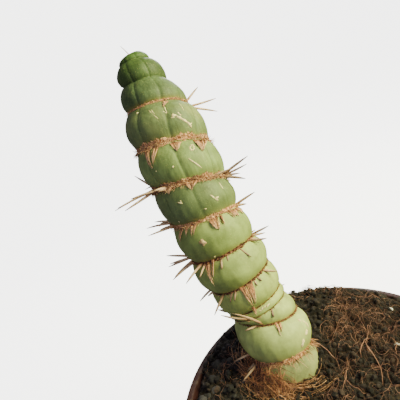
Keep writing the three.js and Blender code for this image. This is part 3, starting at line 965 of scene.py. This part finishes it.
scars = {
    "lines": [
        ((171.3, 115.7), (176.8, 115.3), 0.75), ((176, 116), (182.2, 118.8), 0.95),
        ((181, 118), (187.6, 122.4), 0.85), ((186.6, 121.4), (191.6, 127.4), 0.75),
        ((172.2, 113.2), (175.8, 116), 0.35), ((177, 111.8), (181.6, 115.8), 0.3),
        ((171, 117.6), (175, 117), 0.4), ((188.5, 125.6), (192, 122.6), 0.35),
        ((148.6, 110.3), (158.3, 118.9), 0.22), ((151.3, 109.7), (155, 114.6), 0.22),
        ((164.3, 106.5), (167.4, 113.6), 0.4), ((162.6, 111), (167.2, 113.4), 0.35),
        ((178.9, 103.2), (183.8, 110.8), 0.22), ((136, 114), (138.4, 112.4), 0.5),
        ((186.5, 157.4), (202.8, 168.3), 0.36), ((172.2, 166.6), (173.6, 167), 0.7),
        ((155.4, 171.2), (156.4, 171.6), 0.4), ((218.5, 181.8), (224, 189.4), 0.36),
        ((210, 194.7), (215, 198.6), 0.5), ((214.9, 198.2), (219, 196.8), 0.5),
        ((214.9, 198.2), (218.4, 200.3), 0.45), ((177.7, 202.4), (182.6, 203.4), 0.4),
        ((180.4, 200.4), (180.8, 203), 0.3), ((205.6, 208.2), (206, 209.4), 0.6),
        ((261, 309.6), (262.6, 306.8), 0.4), ((263.6, 308), (265.4, 305.4), 0.4),
        ((266, 306.4), (269.6, 303.6), 0.45), ((259, 311), (261.6, 310), 0.35),
        ((298, 319.8), (301.6, 321.8), 0.8), ((302, 320.6), (305.6, 322.2), 0.5),
        ((305.4, 322), (309, 327), 0.8), ((307, 329), (306, 335.2), 1.0),
        ((304, 338.4), (301.8, 347.4), 1.1), ((236, 206.6), (237, 208.6), 0.4),
        ((214, 256.4), (215, 257), 0.4), ((178, 221), (180, 222), 0.5),
    ],
    "sunk": -0.55,        # shares of the half width
    "thick": 1.3,
    "seed": 3,
    "bow": 0.006,
    "taper": (0.5, 1.0, 0.9, 1.05, 0.9, 0.4),
    "ragged": (0.8, 1.15),
    "lineTone": 0.8,
    "patchTone": 0.15,
    "ring": {"at": (192, 147.6), "radii": (2.1, 2.625), "corners": 9, "halfWidth": 0.5},
    "patch": [
        ((198.8, 242.4), (206.6, 242.8), 1.1), ((200, 240.8), (204, 241), 0.9),
        ((202, 244.6), (205, 244.8), 0.8)],
}
scarStops = [(0.0, (0.80, 0.62, 0.28)), (0.5, (0.90, 0.78, 0.42)), (1.0, (0.82, 0.66, 0.32))]
scarTones = [(0.0, (0.62, 0.42, 0.38)), (0.5, (0.95, 0.95, 0.9)), (1.0, (1.1, 1.1, 1.05))]


def makeScars():
    draw = np.random.default_rng(scars["seed"])
    ring = scars["ring"]
    around = np.linspace(0, fullTurn, ring["corners"])
    rim = np.array(ring["at"]) + np.stack([np.cos(around), np.sin(around)], -1) * ring["radii"]
    rows = scars["lines"] + [(*pair, ring["halfWidth"]) for pair in zip(rim, rim[1:])]
    tones = [scars["lineTone"]] * len(rows) + [scars["patchTone"]] * len(scars["patch"])
    paths, radii = [], []
    for start, end, halfWidth in rows + scars["patch"]:
        lifts = [scars["sunk"] * halfWidth * mm] * len(scars["taper"])
        paths.append(layOnSkin(start, end, lifts, draw.normal() * scars["bow"]))
        ragged = np.array(scars["taper"]) * draw.uniform(*scars["ragged"], len(lifts))
        radii.append(halfWidth * mm * ragged * scars["thick"])
    cork = makeStrandMaterial("corkyScar", scarStops, scarTones, 0.8)
    addStrands("corkyScars", np.array(paths), radii, tones, cork, sides=6)


# Soil, with clods raised from it

soil = {
    "frontLevel": -3.4, "backRise": 10.6, "rises": (5, 90), "edgeDip": 5.5,
    "frontDips": (76, 92), "backDips": (84, 91),
    "lumpHeight": 1.1, "lumpsEnd": (80, 88),
    "topRadius": 90, "floorRadius": 66, "floorHeight": 3, "fit": 0.6,
    "columns": 300, "rings": 120, "skirtRows": 6,
    "rimGap": 1.2, "topFit": 0.4,
    "clods": [(13, 1.6, 40), (6, 1.2, 41), (2.6, 0.5, 42)],     # size and height in mm, and seed
    "clodLevel": 1.0,
    "calmShare": 0.6, "calm": (84, 91),             # lower clods towards the wall
}
rimMm, rimRadiusMm = rimHeight / mm, rimRadius / mm


def soilHeight(x, y):
    # mm above the rim's plane, at places in mm; the waves are those of the CAD source
    distance = np.hypot(x, y)
    backShare = smoothstep(y, *soil["rises"])
    rise = soil["backRise"] * backShare
    dipStart, dipEnd = [front + (back - front) * backShare
                        for front, back in zip(soil["frontDips"], soil["backDips"])]
    dip = soil["edgeDip"] * smoothstep(distance, dipStart, dipEnd)
    waves = np.sin(x / 7.1 + 1.3) * np.cos(y / 6.3) + np.sin((x - y) / 4.7) * np.cos((x + 2 * y) / 9.4)
    inside = 1 - smoothstep(distance, *soil["lumpsEnd"])
    return soil["frontLevel"] + rise - dip + soil["lumpHeight"] * waves * inside


def soilSurface(x, y):
    # Metres, with the clods
    flat = np.stack([x, y, 0 * x], -1)
    calm = 1 - soil["calmShare"] * smoothstep(np.hypot(x, y), *soil["calm"])
    raised = sum(height * np.abs(softNoise(flat, size, seed)) for size, height, seed in soil["clods"])
    return rimHeight + (soilHeight(x, y) + (raised - soil["clodLevel"]) * calm) * mm


def soilRadiusAt(z):
    share = np.clip((z - soil["floorHeight"]) / (rimMm - soil["rimGap"] - soil["floorHeight"]), 0, 1)
    return soil["floorRadius"] + (soil["topRadius"] - soil["floorRadius"]) * share - soil["fit"]


def makeSoil():
    rings, skirt = soil["rings"], soil["skirtRows"]
    rows = rings + skirt + 1

    def points(column, row):
        angle = column / soil["columns"] * fullTurn
        top = soil["topRadius"] - soil["fit"] - soil["topFit"]
        distance = top * np.clip(row / rings, 0, 1)
        x, y = distance * np.cos(angle), distance * np.sin(angle)
        z = soilSurface(x, y) / mm
        down = np.clip((row - rings) / skirt, 0, 1)
        z = z * (1 - down) + soil["floorHeight"] * down
        side = row > rings
        radius = np.where(side, np.minimum(soilRadiusAt(z), top), distance)
        radius = np.where(row == rows, 0, radius)
        return np.stack([radius * np.cos(angle), radius * np.sin(angle), z], -1) * mm

    mesh = rolledGrid("soilGround", soil["columns"], rows, points)
    piece = addPiece("soilGround", mesh, makeSoilMaterial())
    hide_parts("soil")


# Stones, crumbs and bits of perlite on the soil

pebbles = {
    "seed": 7, "count": 36, "radius": (3, 7), "angle": (2.4, 4.2), "distance": (64, 84),
    "raised": 0.2, "subdivisions": 3, "roughness": 0.06, "tones": (0, 1),
}
grit = {
    "count": 260, "radius": (1.0, 2.6), "angle": (1.9, 4.6), "distance": (20, 88),
    "raised": 0.15, "subdivisions": 2, "roughness": 0.08, "tones": (0, 1),
}
crumbs = {
    "count": 3400, "radius": (0.5, 2.6), "angle": (0, fullTurn), "distance": (0, 88),
    "raised": 0.2, "subdivisions": 1, "roughness": 0.15, "tones": (0, 1),
}
clods = {   # on the rim at the back and the left
    "count": 200, "radius": (0.6, 2.8), "angle": (0.2, 2.62), "distance": (82, 91),
    "raised": 0.1, "overRim": 0.2, "subdivisions": 2, "roughness": 0.16, "tones": (0, 0.8),
}
perlite = {
    "places": [(-44, 30), (38, -28), (52, 16), (-20, -52), (64, 40), (-66, -8)],
    "radius": (1.4, 2.4), "raised": 0.4, "subdivisions": 2, "roughness": 0.1, "tones": (0, 1),
}
stoneRule = {
    "shape": (1, 0.8, 0.65), "shapeShares": (0.85, 1.15), "tilt": 0.35,
    "dentSize": 1.7, "dentSeed": 9, "dentStep": 7.3,     # apart in the noise, from stone to stone
    "bitSeed": 17,
}


def makeStones(name, places, radii, look, toneDraw, material):
    # Copies of one ball, each turned, flattened and dented; places and radii in mm
    count, rule = len(places), stoneRule
    tones = toneDraw.uniform(*look["tones"], count)
    shape = bmesh.new()
    bmesh.ops.create_icosphere(shape, subdivisions=look["subdivisions"], radius=1)
    perStone = len(shape.verts)
    for _ in range(math.ceil(math.log2(count))):
        bmesh.ops.duplicate(shape, geom=shape.verts[:] + shape.edges[:] + shape.faces[:])
    bmesh.ops.delete(shape, geom=shape.verts[count * perStone:], context="VERTS")
    mesh = toMesh(shape, name)

    draw = np.random.default_rng(len(name))      # a seed of its own for each kind
    ball = np.empty(len(mesh.vertices) * 3)
    mesh.vertices.foreach_get("co", ball)
    ball = ball.reshape(count, perStone, 3)
    turns = np.array([Euler(angles).to_matrix() for angles in draw.uniform(0, fullTurn, (count, 3))])
    ball = ball @ turns
    apart = np.arange(count)[:, None, None] * rule["dentStep"]
    dents = softNoise(ball + apart, rule["dentSize"], rule["dentSeed"])
    ball = ball * (1 + look["roughness"] * dents[..., None])
    ball = ball * rule["shape"] * draw.uniform(*rule["shapeShares"], (count, 1, 3))
    tilts = np.array([Euler((tilt, 0, spin)).to_matrix() for tilt, spin in zip(
        draw.uniform(-rule["tilt"], rule["tilt"], count), draw.uniform(0, fullTurn, count))])
    ball = ball @ tilts.transpose(0, 2, 1)
    stones = (np.asarray(places)[:, None] + ball * np.asarray(radii)[:, None, None]) * mm
    mesh.vertices.foreach_set("co", stones.ravel())
    setAttribute(mesh, "tone", np.repeat(tones, perStone))
    addPiece(name, mesh, material, smooth=look["subdivisions"] > 1)


def onSoil(x, y, radii, raised):
    return np.stack([x, y, soilSurface(x, y) / mm + raised * radii], -1)


def makeLooseBits():
    # Seen from above, the gravel lies where the CAD source's stones do, by the same run of draws
    state = pebbles["seed"]

    def seeded():
        nonlocal state
        state = (state * 1664525 + 1013904223) % 4294967296
        return state / 4294967296

    places, radii = [], []
    for _ in range(pebbles["count"]):
        angle, distance = [low + (high - low) * seeded() for low, high in
                           (pebbles["angle"], pebbles["distance"])]
        low, high = pebbles["radius"]
        radii.append(low + (high - low) * seeded() * seeded())
        for _ in ("spin", "tilt"):       # drawn there and not needed here
            seeded()
        places.append((distance * math.cos(angle), distance * math.sin(angle)))
    x, y = np.array(places).T
    draw = np.random.default_rng(stoneRule["bitSeed"])
    stone = makeStoneMaterial("greyStone", [
        (0.0, (0.008, 0.007, 0.007)), (0.6, (0.022, 0.020, 0.022)), (1.0, (0.058, 0.052, 0.056))], 500)
    radii = np.array(radii)
    places = np.stack([x, y, rimMm + soilHeight(x, y) + pebbles["raised"] * radii], -1)
    makeStones("gravel", places, radii, pebbles, draw, stone)

    def scatter(bits):
        angle = draw.uniform(*bits["angle"], bits["count"])
        share = draw.uniform(0, 1, bits["count"])
        near, far = bits["distance"]
        distance = np.sqrt(near**2 + (far**2 - near**2) * share)
        radii = bits["radius"][0] + np.ptp(bits["radius"]) * draw.uniform(0, 1, bits["count"]) ** 2
        places = onSoil(distance * np.cos(angle), distance * np.sin(angle), radii, bits["raised"])
        if "overRim" in bits:
            places[:, 2] = np.maximum(places[:, 2], rimMm + bits["overRim"] * radii)
        return places, radii

    crumb = makeStoneMaterial("soilCrumb", [
        (0.0, (0.003, 0.002, 0.002)), (0.7, (0.013, 0.007, 0.006)), (1.0, (0.055, 0.032, 0.024))], 900)
    for name, bits, material in (("grit", grit, stone), ("soilCrumbs", crumbs, crumb),
                                 ("rimClods", clods, crumb)):
        makeStones(name, *scatter(bits), bits, draw, material)

    x, y = np.array(perlite["places"], float).T
    radii = draw.uniform(*perlite["radius"], len(x))
    white = makeStoneMaterial("perlite", [(0.0, (0.6, 0.58, 0.54)), (1.0, (0.85, 0.84, 0.8))], 700)
    makeStones("perliteBits", onSoil(x, y, radii, perlite["raised"]), radii, perlite, draw, white)


# Coir threads and roots on the soil

threads = {
    "fine": {"count": 2250, "length": (6, 26), "radius": (0.06, 0.15), "curl": 0.75, "height": 3.4},
    "thick": {"count": 60, "length": (18, 50), "radius": (0.16, 0.3), "curl": 0.45, "height": 4},
    "seed": 31,
    "points": 11,
    "rightShare": 0.86,
    "rightAngles": (-1.9, 1.25),
    "leftAngles": (1.25, 4.4),
    "spreadTo": 84,
    "clumps": 60,
    "clumpSize": 6,
    "clumpedShare": 0.8,
    "startReach": 86,
    "reach": 87,
    "reachStep": 0.25,        # shorter from point to point, so that no two fall together
    "turning": 0.5,
    "wandering": 0.55,
    "waveLevel": (0.3, 1.4),
    "waveCount": 9,
    "waveHeight": 0.35,
    "taper": 0.6,
    "bare": (16, 64, 25),     # mm: place and radius of the black clods behind the stem
}
threadStops = [(0.0, (0.14, 0.068, 0.048)), (0.5, (0.29, 0.150, 0.112)), (1.0, (0.21, 0.110, 0.082))]
threadTones = [(0.0, (0.09, 0.08, 0.08)), (0.6, (0.48, 0.45, 0.44)), (1.0, (2.1, 2.05, 2.0))]


def keptWithin(places, reach):
    # Places in mm, pulled in to the reach from the pot's centre line
    return places * np.minimum(1, reach / np.maximum(np.hypot(*places.T), 1))[:, None]


def makeThreads():
    draw = np.random.default_rng(threads["seed"])
    for name, look in (("coirThreads", threads["fine"]), ("rootThreads", threads["thick"])):
        count, points = look["count"], threads["points"]
        onRight = draw.uniform(0, 1, count) < threads["rightShare"]
        angle = np.where(onRight, draw.uniform(*threads["rightAngles"], count),
                         draw.uniform(*threads["leftAngles"], count))
        distance = threads["spreadTo"] * np.sqrt(draw.uniform(0, 1, count))
        place = np.stack([distance * np.cos(angle), distance * np.sin(angle)], -1)
        centres = place[draw.integers(0, count, threads["clumps"])]
        clumped = draw.uniform(0, 1, count) < threads["clumpedShare"]
        gathered = centres[draw.integers(0, len(centres), count)]
        gathered = gathered + draw.normal(size=(count, 2)) * threads["clumpSize"]
        place = np.where(clumped[:, None], gathered, place)
        *middle, bareRadius = threads["bare"]
        fromBare = place - middle
        place = middle + fromBare * np.maximum(1, bareRadius / np.hypot(*fromBare.T))[:, None]
        place = keptWithin(place, threads["startReach"])
        heading = draw.uniform(0, fullTurn, count)
        step = draw.uniform(*look["length"], count) / (points - 1)
        turning = draw.normal(size=count) * look["curl"] * threads["turning"]
        flats = []
        for index in range(points):
            flats.append(place)
            heading = heading + turning + draw.normal(size=count) * look["curl"] * threads["wandering"]
            way = np.stack([np.cos(heading), np.sin(heading)], -1)
            place = place + way * step[:, None]
            place = keptWithin(place, threads["reach"] - threads["reachStep"] * index)
        flat = np.stack(flats, 1)
        t = np.linspace(0, 1, points)
        hump = np.sin(np.pi * t)[None] * draw.uniform(0.0, 1, count)[:, None] * look["height"]
        wave = draw.uniform(*threads["waveLevel"], (count, 1))
        wave = wave + 0.5 * np.sin(t * threads["waveCount"] + draw.uniform(0, 6, (count, 1)))
        z = soilSurface(flat[..., 0], flat[..., 1]) + (hump + threads["waveHeight"] * wave) * mm
        paths = np.concatenate([flat * mm, z[..., None]], -1)
        radii = draw.uniform(*look["radius"], count)[:, None] * mm * (1 - threads["taper"] * t**2)
        fibre = makeStrandMaterial(name, threadStops, threadTones, 0.85)
        addStrands(name, paths, radii, draw.uniform(0, 1, count), fibre)


# Straw and bristles at the foot of the stem

straw = {
    "seed": 44,
    "bristles": {"count": 150, "turns": (0.93, 1.62), "length": (2.5, 8.5), "radius": (0.1, 0.2),
                 "across": (-0.04, 0.03), "rootLift": 0.0002, "outward": 0.75, "spread": (0.5, 0.35),
                 "drop": 0.55, "sag": 0.18, "taper": (1, 1, 0.9, 0.75, 0.5, 0.25)},
    "heap": {"count": 340, "middle": (-15.5, 34), "angles": (3.15, 4.4), "inner": (17.5, 23),
             "outer": (22, 40), "high": (2, 16), "radius": (0.1, 0.26), "sway": 0.6, "points": 10,
             "wave": 0.2, "waves": (3, 9), "leastHigh": 0.35, "fall": 1.6, "above": (0.2, 1.2),
             "taper": 0.5},
}
strawStops = [(0.0, (0.38, 0.16, 0.080)), (0.5, (0.58, 0.29, 0.150)), (1.0, (0.66, 0.39, 0.23))]
strawTones = [(0.0, (0.10, 0.08, 0.07)), (0.5, (0.5, 0.46, 0.45)), (1.0, (1.5, 1.45, 1.4))]


def makeStraw():
    draw = np.random.default_rng(straw["seed"])
    look = straw["bristles"]
    turn = draw.uniform(*look["turns"], look["count"])
    azimuth = grooveAzimuth(turn)
    root = skinPoint(turn + draw.uniform(*look["across"], len(turn)), azimuth, look["rootLift"])
    way = leaningWays(draw, turn, azimuth, look)
    long = draw.uniform(*look["length"], len(turn)) * mm
    t = np.linspace(0, 1, len(look["taper"]))[None, :, None]
    sag = np.array([0, 0, -look["sag"]]) * long[:, None]
    bristlePaths = root[:, None] + way[:, None] * long[:, None, None] * t + sag[:, None] * t * t
    bristleRadii = draw.uniform(*look["radius"], len(turn))[:, None] * mm * look["taper"]

    look = straw["heap"]
    count = look["count"]
    angle = draw.uniform(*look["angles"], count)
    t = np.linspace(0, 1, look["points"])[None]
    near = draw.uniform(*look["inner"], (count, 1))
    far = draw.uniform(*look["outer"], (count, 1))
    bearing = angle[:, None] + draw.normal(size=(count, 1)) * look["sway"] * t
    wave = draw.normal(size=(count, 1)) * look["wave"]
    bearing = bearing + wave * np.sin(t * draw.uniform(*look["waves"], (count, 1)))
    distance = near + (far - near) * t
    x = look["middle"][0] + distance * np.cos(bearing)
    y = look["middle"][1] + distance * np.sin(bearing)
    top = draw.uniform(*look["high"], (count, 1))
    top = top * (look["leastHigh"] + (1 - look["leastHigh"]) * draw.uniform(0, 1, (count, 1)))
    height = top * (1 - t) ** look["fall"] + draw.uniform(*look["above"], (count, 1))
    heapPaths = np.stack([x, y, soilSurface(x, y) / mm + height], -1) * mm
    heapRadii = draw.uniform(*look["radius"], (count, 1)) * mm * (1 - look["taper"] * t)

    for name, paths, radii in (("footBristles", bristlePaths, bristleRadii),
                               ("strawHeap", heapPaths, heapRadii)):
        fibre = makeStrandMaterial(name, strawStops, strawTones, 0.8)
        addStrands(name, paths, radii, draw.uniform(0, 1, len(paths)), fibre)


# Pot: profile in mm from the rim's height down, turned round Z

pot = {
    "wall": 2, "floor": 3, "lipHeight": 15, "lipOverhang": 3, "rounding": 1.2, "chamfer": 2,
    "baseRadius": 68, "sides": 160, "holes": 6, "holeCircle": 42, "holeRadius": 5, "holeSides": 32,
    "floorReach": 54,       # the flat middle of the floor, with the holes in it
}


def spinProfile(profile, steps):
    # Turned round Z from places (radius, height) in metres
    shape = bmesh.new()
    corners = [shape.verts.new((x, 0, z)) for x, z in profile]
    edges = [shape.edges.new(pair) for pair in zip(corners, corners[1:])]
    bmesh.ops.spin(shape, geom=corners + edges, cent=(0, 0, 0), axis=(0, 0, 1), angle=fullTurn,
                   steps=steps, use_merge=True)
    return shape


def mergeCorners(shape):
    bmesh.ops.remove_doubles(shape, verts=shape.verts, dist=1e-5)
    bmesh.ops.recalc_face_normals(shape, faces=shape.faces)


def makePot():
    top, outer = rimMm, rimRadiusMm
    under, wallTop = top - pot["lipHeight"], rimRadiusMm - pot["lipOverhang"]
    inner = wallTop - pot["wall"]
    base, rounding = pot["baseRadius"], pot["rounding"]
    profile = [
        (pot["floorReach"], 0), (base - pot["chamfer"], 0), (base - 0.6, 0.6), (base, pot["chamfer"]),
        (wallTop - pot["wall"] / 2, under), (outer - rounding - 0.6, under + 0.2),
        (outer - 0.3, under + rounding), (outer - 0.2, under + 3), (outer, top - rounding),
        (outer - 0.35, top - 0.35), (outer - rounding, top), (inner + rounding, top),
        (inner + 0.35, top - 0.35), (inner, top - rounding), (base - pot["wall"], pot["floor"]),
        (pot["floorReach"], pot["floor"]),
    ]
    shape = spinProfile([(x * mm, z * mm) for x, z in profile], pot["sides"])
    addPotFloor(shape)
    mergeCorners(shape)
    mesh = cutDrainHoles(toMesh(shape, "potBody"))
    piece = addPiece("potShell", mesh, makePotMaterial())
    piece.modifiers.new("soften", "WEIGHTED_NORMAL")
    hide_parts("pot")


def cutDrainHoles(mesh):
    cutter = bmesh.new()
    for angle in np.arange(pot["holes"]) / pot["holes"] * fullTurn:
        place = Vector((math.cos(angle), math.sin(angle), 0)) * pot["holeCircle"] * mm
        bmesh.ops.create_cone(cutter, cap_ends=True, segments=pot["holeSides"],
                              radius1=pot["holeRadius"] * mm, radius2=pot["holeRadius"] * mm,
                              depth=4 * pot["floor"] * mm, matrix=Matrix.Translation(place))
    plugs = bpy.data.objects.new("plugs", toMesh(cutter, "plugs"))
    whole = bpy.data.objects.new("whole", mesh)
    for part in (plugs, whole):
        bpy.context.collection.objects.link(part)
    drilled = whole.modifiers.new("holes", "BOOLEAN")
    drilled.object = plugs
    drilled.solver = "EXACT"
    result = evaluatedMesh(whole, "potShell")
    for part in (plugs, whole):
        bpy.data.objects.remove(part)
    return result


def addPotFloor(shape):
    # The middle of the floor, above and below
    for height in (0, pot["floor"]):
        bmesh.ops.create_circle(shape, cap_ends=True, radius=pot["floorReach"] * mm,
                                segments=pot["sides"], matrix=Matrix.Translation((0, 0, height * mm)))


# Floor and light

stage = {"floorRadius": 1.6, "wallHeight": 1.4, "bend": 0.6, "sides": 96, "glow": 4.2}


def makeStage():
    reach, bend = stage["floorRadius"], stage["bend"]
    profile = [(0, 0), (reach - bend, 0)]
    profile += [(reach - bend + bend * math.sin(a), bend - bend * math.cos(a))
                for a in np.linspace(0, math.pi / 2, 13)[1:]]
    profile += [(reach, stage["wallHeight"])]
    shape = spinProfile(profile, stage["sides"])
    mergeCorners(shape)
    bmesh.ops.reverse_faces(shape, faces=shape.faces)
    material, tree, shader = startMaterial("paleFloor", 0.9)
    shader.inputs["Base Color"].default_value = (0.9, 0.9, 0.9, 1)
    shader.inputs["Emission Color"].default_value = (1, 1, 1, 1)
    shader.inputs["Emission Strength"].default_value = stage["glow"]
    floor = newObject("studioFloor", toMesh(shape, "studioFloor"), material)
    floor.visible_diffuse = False     # keeps the shaded side of the plant dark
    floor.visible_glossy = False


lights = [   # toward the light from the stem, distance, disc diameter, strength at the stem
    {"name": "key", "way": (0.80, -0.27, 0.55), "distance": 0.75, "size": 0.5, "strength": 3.4,
     "color": (1.0, 0.98, 0.52)},
    {"name": "front", "way": (-0.15, -0.9, 0.4), "distance": 1.2, "size": 0.9, "strength": 0.22,
     "color": (0.62, 0.70, 1.0)},
    {"name": "back", "way": (0.25, 0.85, 0.45), "distance": 1.1, "size": 0.5, "strength": 0.5,
     "color": (1.0, 0.98, 0.92)},
]
studio = {"centre": (-0.02, 0.05, 0.23), "ambient": 0.21, "color": (1.0, 0.92, 0.92, 1)}


def makeLights():
    for light in lights:
        place = Vector(studio["centre"]) + Vector(light["way"]).normalized() * light["distance"]
        data = bpy.data.lights.new(light["name"], "AREA")
        data.shape = "DISK"
        data.size = light["size"]
        data.energy = light["strength"] * (math.pi * light["distance"]) ** 2
        data.color = light["color"]
        lamp = bpy.data.objects.new(light["name"], data)
        turned = Vector(light["way"]).to_track_quat("Z", "Y").to_matrix().to_4x4()
        lamp.matrix_world = Matrix.Translation(place) @ turned
        bpy.context.collection.objects.link(lamp)
    world = bpy.data.worlds.new("studio")
    world.use_nodes = True
    world.node_tree.nodes["Background"].inputs["Color"].default_value = studio["color"]
    world.node_tree.nodes["Background"].inputs["Strength"].default_value = studio["ambient"]
    bpy.context.scene.world = world


makeStage()
makeLights()
makePot()
makeSoil()
makeLooseBits()
makeThreads()
makeStraw()
makeSkin()
makeWool()
makeWoolFibres()
makeHangingTufts()
makeScars()
makeSpines()
